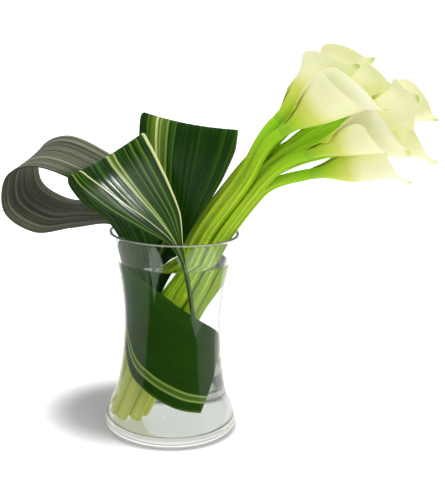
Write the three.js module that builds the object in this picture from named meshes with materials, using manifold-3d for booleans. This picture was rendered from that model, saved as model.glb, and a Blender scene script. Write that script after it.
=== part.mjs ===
// A bunch of calla lilies that leans out of a waisted glass vase, with four broad striped leaves.
// Millimetres, +Z up. The origin is the middle of the vase's flat base, and the blooms lean towards +X.

import * as THREE from "three";
import { mergeVertices } from "three/addons/utils/BufferGeometryUtils.js";
import Module from "manifold-3d";

const wasm = await Module();
wasm.setup();

// Vase: half of its outline as radius and height, between the round foot and the round rim.
const VASE_HEIGHT = 203;
const BASE_RADIUS = 60;
const FOOT_RADIUS = 66.5;
const FOOT_HEIGHT = 9;
const RIM_RADIUS = 63.5;
const RIM_ROUNDING = 1.5;
const RIM_BEVEL = 0.4;
const FOOT_BULGE = [64.75, 2.7];
const VASE_SIDE = [
  [FOOT_RADIUS, FOOT_HEIGHT],
  [61.5, 25],
  [55.4, 40],
  [50.2, 70],
  [47.7, 108],
  [49.8, 140],
  [54.9, 170],
  [RIM_RADIUS, VASE_HEIGHT - RIM_ROUNDING],
];
const WALL = 3;
const FLOOR = 9;
const FLOOR_CORNER = 5;
const FLOOR_CORNER_ANGLES = [0, 30, 60];
const VASE_SEGMENTS = 36;
const VASE_STEPS = 12;
const WELD = 1e-3;

// Water: it fills the vase up to the level, and touching pieces keep the clearance.
const WATER_LEVEL = 175;
const CLEARANCE = 0.3;
const HOLE_POINTS = 24;
const HOLE_SQUARENESS = 8;
const HOLE_STEPS = 9;
const HOLE_FOOT = [-4, 0, -9];
const WALL_POCKET_MARGIN = 0.7;

// Stems: they stand side by side in rows, along one gently bent line from the floor to above the rim.
const STEM_RADIUS = 5.6;
const STEM_PITCH = 11.9;
const ROW_PITCH = 10.4;
const STEM_SIDES = 8;
const STEM_STEPS = 15;
const STEM_BEND_LEAVING = 0.35;
const STEM_BEND_ARRIVING = 0.4;
const STEM_BEND_POINTS = 5;
const BUNDLE_LINE = [
  [-36, 11.4],
  [-19, 60],
  [-1, 110],
  [19, 158],
  [37.5, 200],
  [69, 246],
];

// Blooms: place in the bunch (across, row), the foot of the bloom, a point that it looks at, where the tip
// of its sheet leans, its size, how far in degrees the sheet opens, how far it closes again further up
// (from 0 to 1, so that the body bulges), and how far in degrees its rim curls.
const BLOOMS = [
  {
    place: [-0.5, -1.5], foot: [100, -26, 307], aim: [157, -52, 343.5], tip: [0.4, -0.2, -0.9],
    size: 0.98, open: 21, bulge: 0.35, curl: 40,
  },
  {
    place: [0.5, -1.5], foot: [124.5, -27.5, 286.5], aim: [192.5, -58, 310.4], tip: [0.45, 0.3, -0.85],
    size: 0.9, open: 15, bulge: 0.3, curl: 40,
  },
  {
    place: [-1, -0.5], foot: [97, 2, 315], aim: [157, 7, 377], tip: [0.6, -0.7, -0.3],
    size: 0.88, open: 13, bulge: 0, curl: 31,
  },
  {
    place: [0, -0.5], foot: [156.5, -9, 308.5], aim: [224.5, -18.5, 337], tip: [0.2, -0.9, 0.3],
    size: 0.79, open: 16, bulge: 0.3, curl: 45,
  },
  {
    place: [1, -0.5], foot: [131, -12, 265], aim: [205, -23, 285.5], tip: [0.3, -0.3, -0.9],
    size: 0.91, open: 20, bulge: 0.85, curl: 35,
  },
  {
    place: [-0.5, 0.5], foot: [142, 17.5, 327], aim: [212.5, 9, 364], tip: [0.5, -0.6, -0.6],
    size: 0.74, open: 14, bulge: 0.4, curl: 45,
  },
  {
    place: [0.5, 0.5], foot: [170, 31, 316], aim: [243, 44, 328], tip: [0.8, -0.2, -0.5],
    size: 0.88, open: 15, bulge: 0.3, curl: 35,
  },
  {
    place: [-1.12, 1.5], foot: [126, 40, 327], aim: [166, 54, 387], tip: [0.9, -0.2, -0.1],
    size: 0.8, open: 16, bulge: 0.3, curl: 45,
  },
  {
    place: [-0.14, 1.5], foot: [150, 52, 295], aim: [224, 80, 307], tip: [0.4, 0.6, -0.6],
    size: 0.94, open: 15, bulge: 0.3, curl: 50,
  },
  {
    place: [0.82, 1.5], foot: [171, 16, 286], aim: [246, 7, 302.5], tip: [0.5, 0.1, -0.86],
    size: 0.84, open: 17, bulge: 0.4, curl: 35,
  },
];

// Spathe: the white sheet of a bloom of size 1, rolled round its axis.
const SPATHE_FRONT = 72;
const SPATHE_BACK = 92;
const SPATHE_TIP = 12;
const SPATHE_TIP_WIDTH = 0.35;
const SPATHE_RIM_POWER = 0.9;
const SPATHE_MARGIN_SHARE = 0.45;
const SPATHE_MARGIN_START = 0.6;
const SPATHE_NECK = 4.9;
const SPATHE_LEAN = 2;
const OPENING_SHARE = 0.28;
const BULGE_FROM = 0.35;
const BULGE_SHARE = 0.45;
const SPATHE_WAVE = 1.5;
const SPATHE_WAVES = 3;
const WAVE_POWER = 4;
const NECK_TURN = 0.97;
const SPATHE_OVERLAP = 0.22;
const OVERLAP_FROM = 6;
const OVERLAP_REACH = 20;
const SPATHE_ROLL = 2.6;
const ROLL_REACH = 10;
const SPATHE_THICKNESS = 1.2;
const SPATHE_COLUMNS = 16;
const SPATHE_ROWS = 8;
const SPATHE_SUBSTEPS = 6;
const CURL_START = 0.76;
const CURL_POWER = 1.3;
const INNER_UNCURL = 0.15;
const OUTER_UNCURL = 0.35;
const PHASE_STEP = 1.7;

// Spadix: the finger inside each bloom, with small florets in relief.
const SPADIX_LENGTH = 56;
const SPADIX_RADIUS = 4.2;
const SPADIX_BASE_RADIUS = 2.3;
const SPADIX_SWELL_RATE = 2.2;
const SPADIX_SWELL_FROM = 0.15;
const SPADIX_TAPER = 0.2;
const SPADIX_END_POWER = 5;
const FLORET_RELIEF = 0.35;
const SPADIX_SIDES = 8;
const SPADIX_STEPS = 8;

// Leaves: each stands at its middle line and reaches half its width to both sides of it.
const LEAF_THICKNESS = 1.2;
const PETIOLE_THICKNESS = 3;
const PETIOLE_HALF_WIDTH = 1.6;
const STALK_BLEND = 8;
const LEAF_COLUMNS = 7;
const LOOPED_LEAVES = {
  leaf_left: {
    trough: 0.05,
    steps: 26,
    line: [
      { at: [-46, 31, 11.5], side: [1, 2, 0] },
      { at: [-21, 31, 105], side: [1, 2, 0] },
      { at: [-16, 28, 185], side: [2, 4, 1] },
      { at: [-40, 18, 233], side: [8, 17, 5] },
      { at: [-84, 16, 262], side: [15, 30, 9] },
      { at: [-125, 34, 272], side: [15, 32, 11] },
      { at: [-153, 53, 256], side: [14, 33, 10] },
      { at: [-154, 53, 224], side: [14, 33, 10] },
      { at: [-124, 36, 209], side: [13, 32, 11] },
      { at: [-88, 22, 213], side: [9, 28, 8] },
      { at: [-58, 14, 212], side: [6, 16, 3] },
      { at: [-41, 12, 198], side: [9, 7, 1] },
      { at: [-36, 11, 170], side: [8, 4, 0] },
    ],
  },
  leaf_front: {
    trough: 0.06,
    steps: 24,
    line: [
      { at: [25, -29, 82], side: [1.4, 0.6, 0.6] },
      { at: [19, -33, 125], side: [1.4, 0.6, 0.6] },
      { at: [10, -48, 180], side: [1.7, 0.6, 0.6] },
      { at: [2, -57.6, 203], side: [6, 0, 1.5] },
      { at: [-14, -57, 225], side: [19, 1, 8] },
      { at: [-36, -53, 249], side: [28, 1, 16] },
      { at: [-57, -46, 273], side: [34, 2, 20] },
      { at: [-64, -36, 281], side: [34, 2, 21] },
      { at: [-67, -26, 271], side: [33, 2, 20] },
      { at: [-61, -20, 246], side: [26, 2, 14] },
      { at: [-48, -15, 221], side: [16, 2, 6] },
      { at: [-34, -12, 194], side: [16, 1, 3] },
      { at: [-24, -10, 152], side: [14, 1, 1] },
    ],
  },
  leaf_back: {
    trough: 0.07,
    steps: 24,
    line: [
      { at: [-16, 26, 130], side: [6, 0, 0] },
      { at: [-11, 18, 165], side: [10, -1, 0] },
      { at: [-1, 0, 197], side: [13, -2, 0] },
      { at: [3, -6, 220], side: [20, -2, -2] },
      { at: [5, -3, 255], side: [36, -3, -5] },
      { at: [9, 3, 288], side: [45, -2, -7] },
      { at: [12, 12, 305], side: [47, -2, -7] },
      { at: [14, 23, 305], side: [46, -2, -7] },
      { at: [15, 31, 286], side: [44, -1, -7] },
      { at: [15, 37, 255], side: [33, 0, -6] },
      { at: [15, 40, 222], side: [18, 0, -2] },
      { at: [14, 38, 190], side: [7, 0, 0] },
      { at: [13, 33, 160], side: [2, 0, 0] },
    ],
  },
};

// The leaf inside lies along the wall: its lower and its upper edge, each as an angle and a height.
const INNER_LEAF_EDGES = [
  [-229, 178, -226, 186],
  [-210, 142, -184, 189],
  [-178, 102, -142, 172],
  [-148, 67, -106, 154],
  [-122, 53, -84, 140],
  [-99, 43, -58, 125],
  [-80, 36, -30, 111],
  [-58, 31, -2, 97],
];
const INNER_LEAF_DEPTH = CLEARANCE + 0.75 * LEAF_THICKNESS;
const INNER_LEAF_STEPS = 18;
const INNER_LEAF_COLUMNS = 7;

const glass = new THREE.MeshStandardMaterial({
  color: 0xe6eeec,
  roughness: 0.05,
  transparent: true,
  opacity: 0.3,
});
const liquid = new THREE.MeshStandardMaterial({
  color: 0xe3f0ea,
  roughness: 0.02,
  transparent: true,
  opacity: 0.35,
});
const stemGreen = new THREE.MeshStandardMaterial({ color: 0x86b62c, roughness: 0.45 });
const cream = new THREE.MeshStandardMaterial({ color: 0xf2f3cf, roughness: 0.5 });
const yellow = new THREE.MeshStandardMaterial({ color: 0xe3c23a, roughness: 0.7 });
const leafGreen = new THREE.MeshStandardMaterial({ color: 0x1f4a17, roughness: 0.35 });

const root = new THREE.Group();

function named(name, geometry, material, parent = root) {
  const mesh = new THREE.Mesh(geometry, material);
  mesh.name = name;
  parent.add(mesh);
  return mesh;
}

// A smooth step from 0 to 1 as x goes from 0 to 1.
function ease(x) {
  const t = Math.min(1, Math.max(0, x));
  return t * t * (3 - 2 * t);
}

function vector(list) {
  return new THREE.Vector3(...list);
}

function toSolid(geometry) {
  const bare = geometry.clone();
  bare.deleteAttribute("normal");
  bare.deleteAttribute("uv");
  const merged = mergeVertices(bare, WELD);
  return new wasm.Manifold(
    new wasm.Mesh({
      numProp: 3,
      vertProperties: new Float32Array(merged.attributes.position.array),
      triVerts: new Uint32Array(merged.index.array),
    }),
  );
}

function toGeometry(solid) {
  const mesh = solid.getMesh();
  const geometry = new THREE.BufferGeometry();
  geometry.setAttribute("position", new THREE.BufferAttribute(mesh.vertProperties, 3));
  geometry.setIndex(new THREE.BufferAttribute(mesh.triVerts, 1));
  geometry.computeVertexNormals();
  return geometry;
}

// Makes a thin solid of a sheet given as rows of points: both faces stand half the thickness off the
// sheet along its normal, with the same triangles, and a band closes them along the four edges.
function sheetSolid(rows, thicknessAt) {
  const rowCount = rows.length;
  const columnCount = rows[0].length;
  const positions = [];
  for (const sign of [0.5, -0.5]) {
    for (let i = 0; i < rowCount; i++) {
      for (let j = 0; j < columnCount; j++) {
        const before = rows[Math.max(i - 1, 0)][j];
        const after = rows[Math.min(i + 1, rowCount - 1)][j];
        const left = rows[i][Math.max(j - 1, 0)];
        const right = rows[i][Math.min(j + 1, columnCount - 1)];
        const normal = after.clone().sub(before).cross(right.clone().sub(left)).normalize();
        const point = rows[i][j].clone().addScaledVector(normal, sign * thicknessAt(i, j));
        positions.push(point.x, point.y, point.z);
      }
    }
  }
  const indices = [];
  const front = (i, j) => i * columnCount + j;
  const back = (i, j) => (rowCount + i) * columnCount + j;
  const quad = (a, b, c, d) => indices.push(a, b, c, a, c, d);
  for (let i = 0; i < rowCount - 1; i++) {
    for (let j = 0; j < columnCount - 1; j++) {
      quad(front(i, j), front(i + 1, j), front(i + 1, j + 1), front(i, j + 1));
      const [a, b, c, d] = [back(i, j), back(i + 1, j), back(i + 1, j + 1), back(i, j + 1)];
      indices.push(a, c, b, a, d, c);
    }
    quad(front(i + 1, 0), front(i, 0), back(i, 0), back(i + 1, 0));
    const last = columnCount - 1;
    quad(front(i, last), front(i + 1, last), back(i + 1, last), back(i, last));
  }
  for (let j = 0; j < columnCount - 1; j++) {
    quad(front(0, j), front(0, j + 1), back(0, j + 1), back(0, j));
    const last = rowCount - 1;
    quad(front(last, j + 1), front(last, j), back(last, j), back(last, j + 1));
  }
  const geometry = new THREE.BufferGeometry();
  geometry.setAttribute("position", new THREE.Float32BufferAttribute(positions, 3));
  geometry.setIndex(indices);
  geometry.computeVertexNormals();
  return geometry;
}

// The outside of the vase as radius and height, from the edge of the flat base to the rim.
function vaseOutline() {
  const side = new THREE.SplineCurve(VASE_SIDE.map(([r, z]) => new THREE.Vector2(r, z)));
  return side.getPoints(VASE_STEPS);
}

// The radius of the inner wall at a height, read off the outline.
function innerRadius(z) {
  const outline = vaseOutline();
  const next = Math.max(1, outline.findIndex((p) => p.y >= z));
  const [low, high] = [outline[next - 1], outline[next]];
  return THREE.MathUtils.mapLinear(z, low.y, high.y, low.x, high.x) - WALL;
}

// Half of the space inside the vase, from the axis at the floor up to a height, kept in by a gap.
function innerOutline(top, gap) {
  const points = [new THREE.Vector2(0, FLOOR + gap)];
  const cornerRadius = innerRadius(FLOOR + FLOOR_CORNER) - gap;
  for (const angle of FLOOR_CORNER_ANGLES) {
    const a = THREE.MathUtils.degToRad(angle);
    const r = cornerRadius - FLOOR_CORNER * (1 - Math.sin(a));
    points.push(new THREE.Vector2(r, FLOOR + gap + FLOOR_CORNER * (1 - Math.cos(a))));
  }
  points.push(new THREE.Vector2(cornerRadius, FLOOR + FLOOR_CORNER + gap));
  const [low, high] = [FLOOR + 2 * FLOOR_CORNER, top - WALL];
  for (const p of vaseOutline()) {
    if (p.y > low && p.y < high) points.push(new THREE.Vector2(p.x - WALL - gap, p.y));
  }
  points.push(new THREE.Vector2(innerRadius(top) - gap, top));
  return points;
}

// A lathe turns about Y in three.js, so it is stood up to turn about Z.
function lathe(profile, segments) {
  return new THREE.LatheGeometry(profile, segments).rotateX(Math.PI / 2);
}

function vaseGeometry() {
  const profile = [new THREE.Vector2(0, 0), new THREE.Vector2(BASE_RADIUS, 0)];
  profile.push(new THREE.Vector2(...FOOT_BULGE));
  profile.push(...vaseOutline());
  profile.push(new THREE.Vector2(RIM_RADIUS - RIM_BEVEL, VASE_HEIGHT - RIM_BEVEL));
  profile.push(new THREE.Vector2(RIM_RADIUS - WALL / 2, VASE_HEIGHT));
  profile.push(new THREE.Vector2(RIM_RADIUS - WALL + RIM_BEVEL, VASE_HEIGHT - RIM_BEVEL));
  profile.push(...innerOutline(VASE_HEIGHT - RIM_ROUNDING, 0).reverse());
  return lathe(profile, VASE_SEGMENTS);
}

// A round tube along a curve.
function tube(curve, radius, sides, steps) {
  const ring = [];
  for (let i = 0; i < sides; i++) {
    const angle = (2 * Math.PI * i) / sides;
    ring.push(new THREE.Vector2(radius * Math.cos(angle), radius * Math.sin(angle)));
  }
  const settings = { extrudePath: curve, steps, bevelEnabled: false };
  return new THREE.ExtrudeGeometry(new THREE.Shape(ring), settings);
}

// A point of the bundle: the given place on its middle line, moved across the line and into its row.
// The feet of the stems all stand at the same height.
function bundlePoint(index, across, row) {
  const [x, z] = BUNDLE_LINE[index];
  const [x0, z0] = BUNDLE_LINE[Math.max(index - 1, 0)];
  const [x1, z1] = BUNDLE_LINE[Math.min(index + 1, BUNDLE_LINE.length - 1)];
  const along = new THREE.Vector2(x1 - x0, z1 - z0).normalize();
  const shift = across * STEM_PITCH;
  const point = new THREE.Vector3(x + shift * along.y, row * ROW_PITCH, z - shift * along.x);
  if (index > 0) return point;
  return point.set(x + shift / along.y, point.y, z);
}

// The line of a stem: up through the bundle, and on in a bend to the foot of its bloom.
function stemCurve({ place, foot, aim }) {
  const points = BUNDLE_LINE.map((_, i) => bundlePoint(i, ...place));
  const start = points.at(-1);
  const end = vector(foot);
  const reach = end.distanceTo(start);
  const [below, above] = BUNDLE_LINE.slice(-2);
  const leaving = new THREE.Vector3(above[0] - below[0], 0, above[1] - below[1]).normalize();
  const arriving = vector(aim).sub(end).normalize();
  const bend = new THREE.CubicBezierCurve3(
    start,
    start.clone().addScaledVector(leaving, reach * STEM_BEND_LEAVING),
    end.clone().addScaledVector(arriving, -reach * STEM_BEND_ARRIVING),
    end,
  );
  points.push(...bend.getPoints(STEM_BEND_POINTS).slice(1));
  return new THREE.CatmullRomCurve3(points, false, "centripetal");
}

// The length of the sheet from the neck to the rim, by its turn round the axis.
function spatheRim(turn, size) {
  const backness = (1 + Math.cos(turn)) / 2;
  const rim = SPATHE_FRONT + (SPATHE_BACK - SPATHE_FRONT) * backness ** SPATHE_RIM_POWER;
  return size * (rim + SPATHE_TIP * Math.exp(-((turn / SPATHE_TIP_WIDTH) ** 2)));
}

// The spathe: ribs run out from the neck. Each opens away from the axis, closes again a little where the
// body bulges, and curls at its end. The sheet goes round by more than one turn, rolled so that one margin
// lies over the other, and its ribs get shorter towards both margins.
function spatheRows({ size, open, bulge, curl }, phase) {
  const front = size * SPATHE_FRONT;
  const seam = 1 / (1 + SPATHE_OVERLAP);
  const stepCount = (SPATHE_ROWS - 1) * SPATHE_SUBSTEPS;
  const ribs = [];
  for (let j = 0; j < SPATHE_COLUMNS; j++) {
    const u = -1 + (2 * j) / (SPATHE_COLUMNS - 1);
    const past = ease((Math.abs(u) - SPATHE_MARGIN_START) / (1 - SPATHE_MARGIN_START));
    const turn = THREE.MathUtils.clamp(u / seam, -1, 1) * Math.PI;
    const length = THREE.MathUtils.lerp(spatheRim(turn, size), SPATHE_MARGIN_SHARE * front, past);
    const inner = THREE.MathUtils.clamp((seam - Math.abs(u)) / INNER_UNCURL, 0, 1);
    const rimCurl = curl * (u < 0 ? inner : 1 - OUTER_UNCURL * past);
    const rib = [];
    let r = 0;
    let z = 0;
    for (let k = 0; k <= stepCount; k++) {
      const t = k / stepCount;
      const s = t * length;
      if (k % SPATHE_SUBSTEPS === 0) {
        const over = (1 - NECK_TURN + SPATHE_OVERLAP) * ease((s - OVERLAP_FROM) / OVERLAP_REACH);
        const phi = u * Math.PI * (NECK_TURN + over);
        const roll = (SPATHE_ROLL * phi * ease(s / ROLL_REACH)) / (2 * Math.PI);
        const still = Math.cos(THREE.MathUtils.clamp(phi, -Math.PI, Math.PI) / 2) ** 2;
        const wave = SPATHE_WAVE * Math.sin(SPATHE_WAVES * phi + phase) * still * t ** WAVE_POWER;
        const radius = SPATHE_NECK + r + roll + wave;
        rib.push(new THREE.Vector3(radius * Math.cos(phi), radius * Math.sin(phi), z + CLEARANCE));
      }
      const closing = 1 - bulge * ease((s - BULGE_FROM * front) / (BULGE_SHARE * front));
      const lean = SPATHE_LEAN + open * ease(s / (OPENING_SHARE * front)) * closing;
      const curled = rimCurl * ease((t - CURL_START) / (1 - CURL_START)) ** CURL_POWER;
      const slope = THREE.MathUtils.degToRad(lean + curled);
      r += (Math.sin(slope) * length) / stepCount;
      z += (Math.cos(slope) * length) / stepCount;
    }
    ribs.push(rib);
  }
  return ribs;
}

function spatheGeometry(bloom, phase) {
  return sheetSolid(spatheRows(bloom, phase), () => SPATHE_THICKNESS);
}

// The spadix: a slim finger with a round end, and its florets stand out in a twisted chequer.
function spadixGeometry(size) {
  const length = SPADIX_LENGTH * size;
  const profile = [new THREE.Vector2(0, CLEARANCE), new THREE.Vector2(SPADIX_BASE_RADIUS, CLEARANCE)];
  for (let i = 1; i < SPADIX_STEPS; i++) {
    const t = i / SPADIX_STEPS;
    const grown = ease(t * SPADIX_SWELL_RATE - SPADIX_SWELL_FROM);
    const body = THREE.MathUtils.lerp(SPADIX_BASE_RADIUS, SPADIX_RADIUS, grown) * (1 - SPADIX_TAPER * t);
    profile.push(new THREE.Vector2(body * Math.sqrt(1 - t ** SPADIX_END_POWER), CLEARANCE + t * length));
  }
  profile.push(new THREE.Vector2(0, CLEARANCE + length));
  const geometry = lathe(profile, SPADIX_SIDES);
  const position = geometry.attributes.position;
  for (let i = 0; i < position.count; i++) {
    const [x, y, z] = [position.getX(i), position.getY(i), position.getZ(i)];
    const row = Math.round(((z - CLEARANCE) / length) * SPADIX_STEPS);
    const column = Math.round((Math.atan2(x, -y) / (2 * Math.PI)) * SPADIX_SIDES);
    const onSide = row > 0 && row < SPADIX_STEPS;
    const grow = onSide && (row + column) % 2 === 0 ? 1 + FLORET_RELIEF / SPADIX_RADIUS : 1;
    position.setXY(i, x * grow, y * grow);
  }
  return geometry;
}

// A stem with its bloom on its end: the bloom's own group turns its axis along the stem's end.
function addCalla(bloom, index) {
  const label = "calla_" + String(index + 1).padStart(2, "0");
  const curve = stemCurve(bloom);
  named(label + "_stem", tube(curve, STEM_RADIUS, STEM_SIDES, STEM_STEPS), stemGreen);
  const group = new THREE.Group();
  const axis = curve.getTangent(1);
  const tip = vector(bloom.tip);
  tip.addScaledVector(axis, -tip.dot(axis)).normalize();
  const side = axis.clone().cross(tip);
  group.quaternion.setFromRotationMatrix(new THREE.Matrix4().makeBasis(tip, side, axis));
  group.position.copy(curve.getPoint(1));
  root.add(group);
  named(label + "_spathe", spatheGeometry(bloom, index * PHASE_STEP), cream, group);
  named(label + "_spadix", spadixGeometry(bloom.size), yellow, group);
}

// The rows of a looped leaf: its middle line and its half width are smooth curves through the given
// stations, and the blade is dished across like a shallow trough. A margin grows it on all sides.
function loopedLeafRows({ line, trough, steps }, margin = 0) {
  const middle = new THREE.CatmullRomCurve3(line.map((p) => vector(p.at)), false, "centripetal");
  const halfWidth = new THREE.CatmullRomCurve3(line.map((p) => vector(p.side)), false, "centripetal");
  const rows = [];
  for (let i = 0; i <= steps; i++) {
    const t = i / steps;
    const along = middle.getTangent(t);
    const centre = middle.getPoint(t);
    if (i === 0) centre.addScaledVector(along, -margin);
    if (i === steps) centre.addScaledVector(along, margin);
    const side = halfWidth.getPoint(t);
    const normal = side.clone().cross(along).normalize();
    const reach = 1 + margin / side.length();
    const row = [];
    for (let j = 0; j < LEAF_COLUMNS; j++) {
      const w = -1 + (2 * j) / (LEAF_COLUMNS - 1);
      const dish = trough * side.length() * (w * w - 0.5);
      row.push(centre.clone().addScaledVector(side, w * reach).addScaledVector(normal, dish));
    }
    rows.push(row);
  }
  return rows;
}

// A leaf's thickness: the blade is thin, and it thickens as it narrows into its stalk.
function leafThickness(rows) {
  return (i) => {
    const half = rows[i][0].distanceTo(rows[i].at(-1)) / 2;
    const stalk = 1 - ease((half - PETIOLE_HALF_WIDTH) / STALK_BLEND);
    return THREE.MathUtils.lerp(LEAF_THICKNESS, PETIOLE_THICKNESS, stalk);
  };
}

function loopedLeafGeometry(leaf) {
  const rows = loopedLeafRows(leaf);
  return sheetSolid(rows, leafThickness(rows));
}

// The rows of the leaf inside the vase, laid on the wall at a depth from it and grown by a margin.
function innerLeafRows(depth, margin) {
  const edge = (k) => {
    const points = INNER_LEAF_EDGES.map((e) => new THREE.Vector2(e[k], e[k + 1]));
    return new THREE.SplineCurve(points);
  };
  const [low, high] = [edge(0), edge(2)];
  const rows = [];
  for (let i = 0; i <= INNER_LEAF_STEPS; i++) {
    const t = i / INNER_LEAF_STEPS;
    const [from, to] = [low.getPoint(t), high.getPoint(t)];
    const grow = margin / from.distanceTo(to);
    const row = [];
    for (let j = 0; j < INNER_LEAF_COLUMNS; j++) {
      const w = j / (INNER_LEAF_COLUMNS - 1);
      const place = from.clone().lerp(to, THREE.MathUtils.lerp(-grow, 1 + grow, w));
      const radius = innerRadius(place.y) - depth;
      const angle = THREE.MathUtils.degToRad(place.x);
      row.push(new THREE.Vector3(radius * Math.cos(angle), radius * Math.sin(angle), place.y));
    }
    rows.push(row);
  }
  return rows;
}

function innerLeafGeometry() {
  return sheetSolid(innerLeafRows(INNER_LEAF_DEPTH, 0), () => LEAF_THICKNESS);
}

// One plain hole for the whole bundle: a rounded oblong is carried along the bundle's middle line.
function bundleHole() {
  const reach = (k) => Math.max(...BLOOMS.map(({ place }) => Math.abs(place[k])));
  const halfAcross = reach(0) * STEM_PITCH + STEM_RADIUS + 3 * CLEARANCE;
  const halfDeep = reach(1) * ROW_PITCH + STEM_RADIUS + 3 * CLEARANCE;
  const outline = [];
  for (let i = 0; i < HOLE_POINTS; i++) {
    const angle = (2 * Math.PI * i) / HOLE_POINTS;
    const [x, y] = [Math.cos(angle), Math.sin(angle)];
    const power = Math.abs(x) ** HOLE_SQUARENESS + Math.abs(y) ** HOLE_SQUARENESS;
    const size = power ** (-1 / HOLE_SQUARENESS);
    outline.push(new THREE.Vector2(halfDeep * size * x, halfAcross * size * y));
  }
  const points = BUNDLE_LINE.map((_, i) => bundlePoint(i, 0, 0));
  points.unshift(points[0].clone().add(vector(HOLE_FOOT)));
  const line = new THREE.CatmullRomCurve3(points, false, "centripetal");
  const settings = { extrudePath: line, steps: HOLE_STEPS, bevelEnabled: false };
  return new THREE.ExtrudeGeometry(new THREE.Shape(outline), settings);
}

// The water stands round the stems and stalks in plain holes, and clear of the leaf at the wall.
function waterGeometry() {
  const profile = [...innerOutline(WATER_LEVEL, CLEARANCE), new THREE.Vector2(0, WATER_LEVEL)];
  let solid = toSolid(lathe(profile, VASE_SEGMENTS)).subtract(toSolid(bundleHole()));
  for (const leaf of Object.values(LOOPED_LEAVES)) {
    const thickness = leafThickness(loopedLeafRows(leaf));
    const pocket = sheetSolid(loopedLeafRows(leaf, 2 * CLEARANCE), (i) => thickness(i) + 4 * CLEARANCE);
    solid = solid.subtract(toSolid(pocket));
  }
  const wallRows = innerLeafRows(INNER_LEAF_DEPTH - WALL_POCKET_MARGIN, WALL_POCKET_MARGIN);
  const wallPocket = sheetSolid(wallRows, () => LEAF_THICKNESS + 3 * WALL_POCKET_MARGIN);
  solid = solid.subtract(toSolid(wallPocket));
  const bodies = solid.decompose();
  bodies.sort((a, b) => b.volume() - a.volume());
  return toGeometry(bodies[0]);
}

named("vase", vaseGeometry(), glass);
named("water", waterGeometry(), liquid);
BLOOMS.forEach(addCalla);
for (const [name, leaf] of Object.entries(LOOPED_LEAVES)) named(name, loopedLeafGeometry(leaf), leafGreen);
named("leaf_inside", innerLeafGeometry(), leafGreen);

export default root;
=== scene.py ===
"""Calla lilies and striped leaves in a glass vase of water, dressed for Blender 4.5.

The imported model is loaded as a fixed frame. Each solid of it is replaced by a finer surface on the
same lines: a glass wall, water, stems, rolled spathes, spadices and leaves. The tables of stations
below are in millimetres, in the frame of the part; meshes and settings are in metres.
"""

import math

import bpy
import numpy as np
from bpy.props import FloatProperty, FloatVectorProperty, IntProperty, PointerProperty
from mathutils import Matrix, Vector


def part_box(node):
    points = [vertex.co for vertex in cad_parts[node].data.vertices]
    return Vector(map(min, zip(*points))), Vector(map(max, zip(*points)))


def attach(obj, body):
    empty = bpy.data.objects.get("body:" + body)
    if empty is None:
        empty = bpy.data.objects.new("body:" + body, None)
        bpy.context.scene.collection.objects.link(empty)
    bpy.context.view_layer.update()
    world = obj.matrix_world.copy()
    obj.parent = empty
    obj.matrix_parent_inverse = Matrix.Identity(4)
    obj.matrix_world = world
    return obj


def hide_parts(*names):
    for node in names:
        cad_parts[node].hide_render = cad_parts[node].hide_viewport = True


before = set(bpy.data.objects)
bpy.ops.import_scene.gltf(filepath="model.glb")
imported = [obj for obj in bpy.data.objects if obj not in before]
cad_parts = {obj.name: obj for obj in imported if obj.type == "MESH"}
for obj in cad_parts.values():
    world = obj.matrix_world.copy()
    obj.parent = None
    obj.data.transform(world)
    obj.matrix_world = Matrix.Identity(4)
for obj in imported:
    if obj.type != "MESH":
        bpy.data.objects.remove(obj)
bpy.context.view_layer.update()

bl_info = {
    "name": "Calla lilies in a vase",
    "version": (1, 0, 0),
    "blender": (4, 5, 0),
    "location": "View3D > Sidebar > Callas",
    "description": "Dresses the model of callas and striped leaves in a glass vase of water",
    "category": "Object",
}

MM = 0.001
VASE_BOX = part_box("vase")
WATER_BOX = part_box("water")

# Vase: half of its outline as radius and height, from above the round foot to under the rim.
BASE_RADIUS = 60.0
FOOT_RADIUS = 66.5
FOOT_HEIGHT = 9.0
RIM_RADIUS = 63.5
RIM_ROUNDING = 1.5
VASE_SIDE = [
    (FOOT_RADIUS, FOOT_HEIGHT),
    (61.5, 25.0),
    (55.4, 40.0),
    (50.2, 70.0),
    (47.7, 108.0),
    (49.8, 140.0),
    (54.9, 170.0),
    (RIM_RADIUS, 201.5),
]
VASE_STEPS = 90
FLAT_STEPS = 12
GLASS_IOR = 1.5
WATER_IOR = 1.333
RIM_ROUGHNESS = 0.5
GLASS_SHADOW = 0.78
WATER_SHADOW = 0.97

# Stems: they stand side by side in rows, along one gently bent line of x and height.
STEM_PITCH = 11.9
ROW_PITCH = 10.4
BUNDLE_LINE = [(-36, 11.4), (-19, 60), (-1, 110), (19, 158), (37.5, 200), (69, 246)]
STEM_BEND_LEAVING = 0.35
STEM_BEND_ARRIVING = 0.4
STEM_BEND_POINTS = 5
STEM_SAMPLES = 600

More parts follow.
